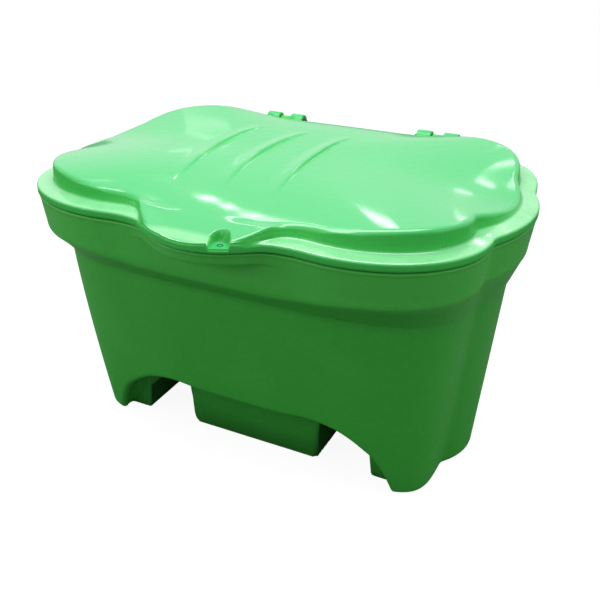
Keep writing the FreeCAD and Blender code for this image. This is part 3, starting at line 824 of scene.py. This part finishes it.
def moulded_plastic(name, colour, roughness, gloss_and_sheen_up):
    """Rotation-moulded plastic: soft clouds in the colour, slow waves and a fine orange peel
    in the surface, and a few rubbed, duller patches. The gloss on top adds a clear coat to the
    faces that look up, most of all in front, which weather and hands keep smooth. It also adds
    a bluer painted sheen to their colour, and a pale green painted reflection to the lid's
    shelf. The tub's collar gets painted light, a lighter colour, and its tunnels and recess get
    painted shade, a darker colour towards the bottom."""
    f = Finish(bpy.data.materials.new(name))
    upward = f.split(f.node("ShaderNodeTexCoord").outputs["Normal"])[2]
    level = f.ramp(upward, ((0.35, 0.0), (0.92, 1.0)))
    x, y, z = f.split(f.place)

    # Where the painted shelf reflection, the painted shade under the tub, the painted light on the
    # collar and the marks are
    shelf = ((0.40, 0.0), (0.45, 1.0), (0.50, 1.0), (0.55, 0.0))
    # salt: a painted reflection on the lid's shelf, a band of heights on upward faces
    salt = f.ramp((z - 0.70) * 10.0, shelf) * level * (f.noise(24.0, 3.0) * 0.6 + 0.42)
    # Painted shade: the tunnels and the recess under the tub, darker towards the bottom
    hidden = f.ramp(f.math("ABSOLUTE", y), ((0.212, 1.0), (0.230, 0.0)))
    hidden = hidden * f.ramp(f.math("ABSOLUTE", x), ((0.440, 1.0), (0.460, 0.0)))
    painted_underside_shade = hidden * f.ramp(z, ((0.170, 0.85), (0.200, 0.0)))
    # Painted light: the tub's collar, up from 0.60 m, in a lighter colour
    painted_collar_light = f.ramp(z, ((0.60, 0.0), (0.64, 1.0)))
    rubbed = f.ramp(f.noise(5.5, 6.0, twist=0.6), ((0.52, 0.0), (0.78, 1.0)))
    scratches = f.ramp(f.noise(60.0, 4.0, stretch=(1.0, 0.06, 1.0)), ((0.66, 0.0), (0.74, 1.0)))

    # Painted sheen: a bluer colour for the faces that look up
    painted_sheen_colour = (colour[0], colour[1], colour[2] + 0.11, 1.0)
    base = f.mix(f.noise(2.6, 3.0), shade(colour, 0.90), shade(colour, 1.08))
    base = f.mix(rubbed * 0.25, base, shade(colour, 1.0, 0.035))
    base = f.mix(f.noise(420.0) ** 6 * 0.5, base, shade(colour, 0.7))
    # Painted light on the collar, where the gloss on top is 0
    base = f.mix(painted_collar_light * (0.30 * (1 - gloss_and_sheen_up)), base, shade(colour, 1.35, 0.05))
    # Painted sheen on the upward faces
    base = f.mix(level * gloss_and_sheen_up, base, painted_sheen_colour)
    # Painted reflection on the lid's shelf
    base = f.mix(salt * gloss_and_sheen_up ** 0.5, base, SALT)
    # Painted shade in the tunnels and the recess under the tub
    base = f.mix(painted_underside_shade, base, shade(colour, 0.30))

    gloss = rubbed * 0.07 + scratches * 0.05 + f.noise(9.0, 3.0) * 0.05 + (roughness - 0.03)
    coat = level * gloss_and_sheen_up * (y * -0.8 + 0.9) + 0.02
    waves = f.bump(f.noise(4.0, 1.0), 0.0020, 0.40)
    ripples = f.bump(f.noise(34.0, twist=0.5), 0.0030, 0.50, waves)
    dimples = f.bump(f.noise(70.0), 0.0007, 0.30, ripples)
    peel = f.bump(f.noise(520.0), 0.00018, 0.35, dimples)
    surface = f.bump(scratches, 0.0001, 0.25, peel)
    return f.finish({
        "Base Color": base, "Roughness": gloss, "Normal": surface, "IOR": 1.5,
        "Specular IOR Level": 0.30 - 0.40 * gloss_and_sheen_up,
        "Coat Weight": coat, "Coat Roughness": 0.10, "Coat IOR": 1.8})


def plain_finish(name, colour, roughness, grain=300.0):
    """A small part's finish: mottled colour, uneven gloss and a fine grain."""
    f = Finish(bpy.data.materials.new(name))
    mottle = f.noise(40.0, 4.0)
    return f.finish({
        "Base Color": f.mix(mottle, shade(colour, 0.72), shade(colour, 1.15)),
        "Roughness": mottle * 0.16 + (roughness - 0.08),
        "Normal": f.bump(f.noise(grain, 3.0), 0.0002, 0.4)})


def zinc_steel():
    """Zinc plated steel: spangled patches, fine turning marks and duller stains."""
    f = Finish(bpy.data.materials.new("zinc_steel"))
    spangle = f.node("ShaderNodeTexVoronoi", None, {"Vector": f.place, "Scale": 240.0})
    patch = Value(f, spangle.outputs["Distance"])
    stain = f.ramp(f.noise(70.0, 5.0), ((0.45, 0.0), (0.75, 1.0)))
    return f.finish({
        "Base Color": f.mix(stain * 0.5, f.mix(patch, ZINC, ZINC_PALE), STAIN),
        "Metallic": 1.0, "Roughness": stain * 0.25 + patch * 0.1 + 0.28,
        "Normal": f.bump(f.noise(900.0, stretch=(8.0, 1.0, 1.0)), 0.0001, 0.3)})


# Operators. A hinge arm's length, half height and direction round the axis
LUG_ARM = (0.092, 0.013, math.radians(236.0))
EAR_ARM = (0.052, 0.011, math.radians(183.0))
LUG_BORE, EAR_BORE, LUG_GAP = 0.005, 0.007, 0.0018

# Lamps: place, target, size and power. The big ones light the bin, and the small ones only
# show as glints on the glossy lid
LAMPS = {
    "overhead": ((0.0, -0.1, 3.2), (0.0, 0.0, 0.6), (3.0, 1.8), 86.0),
    "front_fill": ((-2.2, -2.8, 1.9), (0.0, 0.0, 0.4), (2.6, 1.4), 24.0),
    "left_fill": ((-3.0, -1.8, 1.3), (-0.5, -0.3, 0.4), (0.8, 0.8), 8.0),
    "end_fill": ((3.2, -0.4, 1.6), (0.5, 0.0, 0.4), (1.0, 1.0), 12.0),
    "glint_streak_1": ((-1.58, 1.51, 2.62), (-0.10, -0.36, 0.78), (0.13, 0.09), 0.48),
    "glint_streak_2": ((-1.43, 1.44, 2.71), (-0.03, -0.38, 0.78), (0.10, 0.10), 0.38),
    "glint_streak_3": ((-1.28, 1.38, 2.81), (0.03, -0.40, 0.78), (0.13, 0.09), 0.46),
    "glint_streak_4": ((-1.12, 1.41, 2.86), (0.08, -0.40, 0.78), (0.09, 0.08), 0.30),
    "glint_streak_5": ((-0.95, 1.56, 2.77), (0.16, -0.38, 0.78), (0.10, 0.06), 0.26),
    "glint_front": ((-0.60, 2.11, 2.23), (0.41, -0.35, 0.80), (0.26, 0.22), 1.2),
    "glint_back_right": ((0.27, 2.79, 2.26), (0.54, 0.21, 0.79), (0.20, 0.10), 0.6),
    "glint_end_right": ((0.56, 2.62, 2.43), (0.59, 0.10, 0.78), (0.14, 0.16), 0.5),
    "glint_faint": ((0.07, 2.80, 1.66), (0.49, -0.05, 0.79), (0.15, 0.06), 0.2),
    "glint_back_left": ((-1.98, 2.56, 1.58), (-0.36, 0.16, 0.80), (0.40, 0.05), 0.12),
    "glint_left": ((-1.95, 1.16, 2.80), (-0.36, -0.40, 0.79), (0.30, 0.06), 0.12),
}


def moulding(name, parts, body, slot, plastic, *nodes):
    """Makes one moulded piece of several skins, and puts it on its body, in its slot, and in
    place of the frame's nodes. plastic holds its colour, roughness and gloss on top. The gloss
    on top also sets the painted sheen, the painted shelf reflection and the collar's painted
    light."""
    made = make_object(name, *joined(parts), moulded_plastic(slot, *plastic))
    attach(made, body)
    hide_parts(*nodes)


class SaltBinOperator:
    """What the operators share."""
    bl_options = {"REGISTER", "UNDO"}


class SALTBIN_OT_tub(SaltBinOperator, bpy.types.Operator):
    """Build the tub's moulding with its hinge lugs."""
    bl_idname = "saltbin.tub"
    bl_label = "Tub"

    def execute(self, context):
        scene = context.scene
        hinge, finish = scene.bin_hinge, scene.bin_finish
        parts = [tub_surface(scene.bin_outline, scene.bin_tub)]
        half = (hinge.ear_pitch - hinge.ear_width) / 2 - LUG_GAP
        for side in (-1, 1):
            middle = side * hinge.middle_x
            parts.append(eye(hinge, middle, half, hinge.lug_radius, LUG_BORE, LUG_ARM))
        # No gloss on top: no coat or painted sheen, and the collar's painted light in full
        plastic = finish.tub_colour, finish.tub_roughness, 0.0
        moulding("tub_moulding", parts, "tub", "moulded_green", plastic, "tub")
        return {"FINISHED"}


class SALTBIN_OT_lid(SaltBinOperator, bpy.types.Operator):
    """Build the lid's moulding with its hinge ears."""
    bl_idname = "saltbin.lid"
    bl_label = "Lid"

    def execute(self, context):
        scene = context.scene
        hinge, finish = scene.bin_hinge, scene.bin_finish
        parts = [lid_surface(scene.bin_outline, scene.bin_lid)]
        half, step = hinge.ear_width / 2, hinge.ear_pitch / 2
        for side in (-1, 1):
            for middle in (side * hinge.middle_x - step, side * hinge.middle_x + step):
                parts.append(eye(hinge, middle, half, hinge.ear_radius, EAR_BORE, EAR_ARM))
        # The lid's gloss on top: its coat, its painted sheen and its painted shelf reflection
        plastic = finish.lid_colour, finish.lid_roughness, 0.59
        moulding("lid_moulding", parts, "lid", "moulded_green_gloss", plastic, "lid")
        return {"FINISHED"}


class SALTBIN_OT_fittings(SaltBinOperator, bpy.types.Operator):
    """Finish the small parts that the frame already holds."""
    bl_idname = "saltbin.fittings"
    bl_label = "Hinge parts, seal and bushes"

    def execute(self, context):
        finishes = {
            "zinc_steel": zinc_steel(),
            "bush_nylon": plain_finish("bush_nylon", (0.70, 0.68, 0.60), 0.45),
            "cap_plastic": plain_finish("cap_plastic", (0.022, 0.022, 0.024), 0.42),
            "seal_rubber": plain_finish("seal_rubber", (0.018, 0.018, 0.018), 0.75, grain=900.0),
        }
        slots = {part["node"]: part["material_slot"] for part in frame["record"]["subparts"]}
        for node, made in frame["nodes"].items():
            if slots[node] in finishes:
                made.data.materials.clear()
                made.data.materials.append(finishes[slots[node]])
        return {"FINISHED"}


class SALTBIN_OT_stage(SaltBinOperator, bpy.types.Operator):
    """Set the floor, the world, the lamps and the camera."""
    bl_idname = "saltbin.stage"
    bl_label = "Stage"

    def execute(self, context):
        scene = context.scene
        self.floor(scene.bin_stage)
        self.world(scene)
        for name, lamp in LAMPS.items():
            self.lamp(scene, name, *lamp)
        self.camera(scene, scene.bin_stage)
        scene.view_settings.view_transform = "Standard"
        return {"FINISHED"}

    @staticmethod
    def floor(stage):
        """A flat white floor that shows near white to the camera and keeps a soft shadow."""
        half = 12.0
        points = half * np.array(((-1, -1, 0), (1, -1, 0), (1, 1, 0), (-1, 1, 0)))
        f = Finish(bpy.data.materials.new("floor_white"))
        seen = Value(f, f.node("ShaderNodeLightPath").outputs["Is Camera Ray"])
        lit = f.node("ShaderNodeBsdfDiffuse", None, {"Color": shade(stage.floor_colour, 1.0)})
        glow = f.node("ShaderNodeEmission", None, {"Color": WHITE, "Strength": seen * 0.92})
        both = f.node("ShaderNodeAddShader", None, {0: lit.outputs[0], 1: glow.outputs[0]})
        f.node("ShaderNodeOutputMaterial", None, {"Surface": both.outputs[0]})
        make_object("floor", points, np.array(((0, 1, 2, 3),)), f.material)

    @staticmethod
    def world(scene):
        """White to the camera and in reflections, and a gentle light on the object."""
        scene.world = bpy.data.worlds.new("studio")
        f = Finish(scene.world)
        path = f.node("ShaderNodeLightPath").outputs
        seen = f.math("MAXIMUM", path["Is Camera Ray"], path["Is Glossy Ray"])
        back = f.node("ShaderNodeBackground", None, {"Color": WHITE, "Strength": seen * 0.6 + 0.4})
        f.node("ShaderNodeOutputWorld", None, {"Surface": back.outputs[0]})

    @staticmethod
    def lamp(scene, name, place, target, size, power):
        """A rectangular area lamp at a place, facing a target."""
        data = bpy.data.lights.new(name, "AREA")
        data.shape, data.size, data.size_y = "RECTANGLE", *size
        data.energy = power
        lamp = bpy.data.objects.new(name, data)
        lamp.location = place
        facing = Vector(target) - Vector(place)
        lamp.rotation_euler = facing.to_track_quat("-Z", "Y").to_euler()
        scene.collection.objects.link(lamp)

    @staticmethod
    def camera(scene, stage):
        """The photograph's camera: 48.3 mm on a 36 mm frame, shifted a little."""
        data = bpy.data.cameras.new("camera")
        data.sensor_width, data.lens = 36.0, 48.285
        data.shift_x, data.shift_y = 0.0238, 0.0198
        camera = bpy.data.objects.new("camera", data)
        camera.location = stage.camera_place
        camera.rotation_euler = (math.pi / 2 - stage.camera_pitch, 0.0, stage.camera_azimuth)
        scene.collection.objects.link(camera)
        scene.camera = camera


OPERATORS = (SALTBIN_OT_tub, SALTBIN_OT_lid, SALTBIN_OT_fittings, SALTBIN_OT_stage)
GROUPS = {"bin_outline": BinOutline, "bin_tub": BinTub, "bin_lid": BinLid,
          "bin_hinge": BinHinge, "bin_finish": BinFinish, "bin_stage": BinStage}


class SALTBIN_PT_panel(bpy.types.Panel):
    """Lists the bin's pieces and its sizes."""
    bl_label = "Salt bin"
    bl_idname = "SALTBIN_PT_panel"
    bl_space_type = "VIEW_3D"
    bl_region_type = "UI"
    bl_category = "Salt bin"

    def draw(self, context):
        for operator in OPERATORS:
            self.layout.operator(operator.bl_idname)
        for name, group in GROUPS.items():
            box = self.layout.box()
            box.label(text=name.replace("_", " "))
            for key in group.__annotations__:
                box.prop(getattr(context.scene, name), key)


CLASSES = (*GROUPS.values(), *OPERATORS, SALTBIN_PT_panel)


def register():
    for cls in CLASSES:
        bpy.utils.register_class(cls)
    for name, group in GROUPS.items():
        setattr(bpy.types.Scene, name, PointerProperty(type=group))


def unregister():
    for name in GROUPS:
        delattr(bpy.types.Scene, name)
    for cls in reversed(CLASSES):
        bpy.utils.unregister_class(cls)


def main():
    register()
    bpy.ops.saltbin.stage()
    bpy.ops.saltbin.tub()
    bpy.ops.saltbin.lid()
    bpy.ops.saltbin.fittings()


if __name__ == "__main__":
    main()
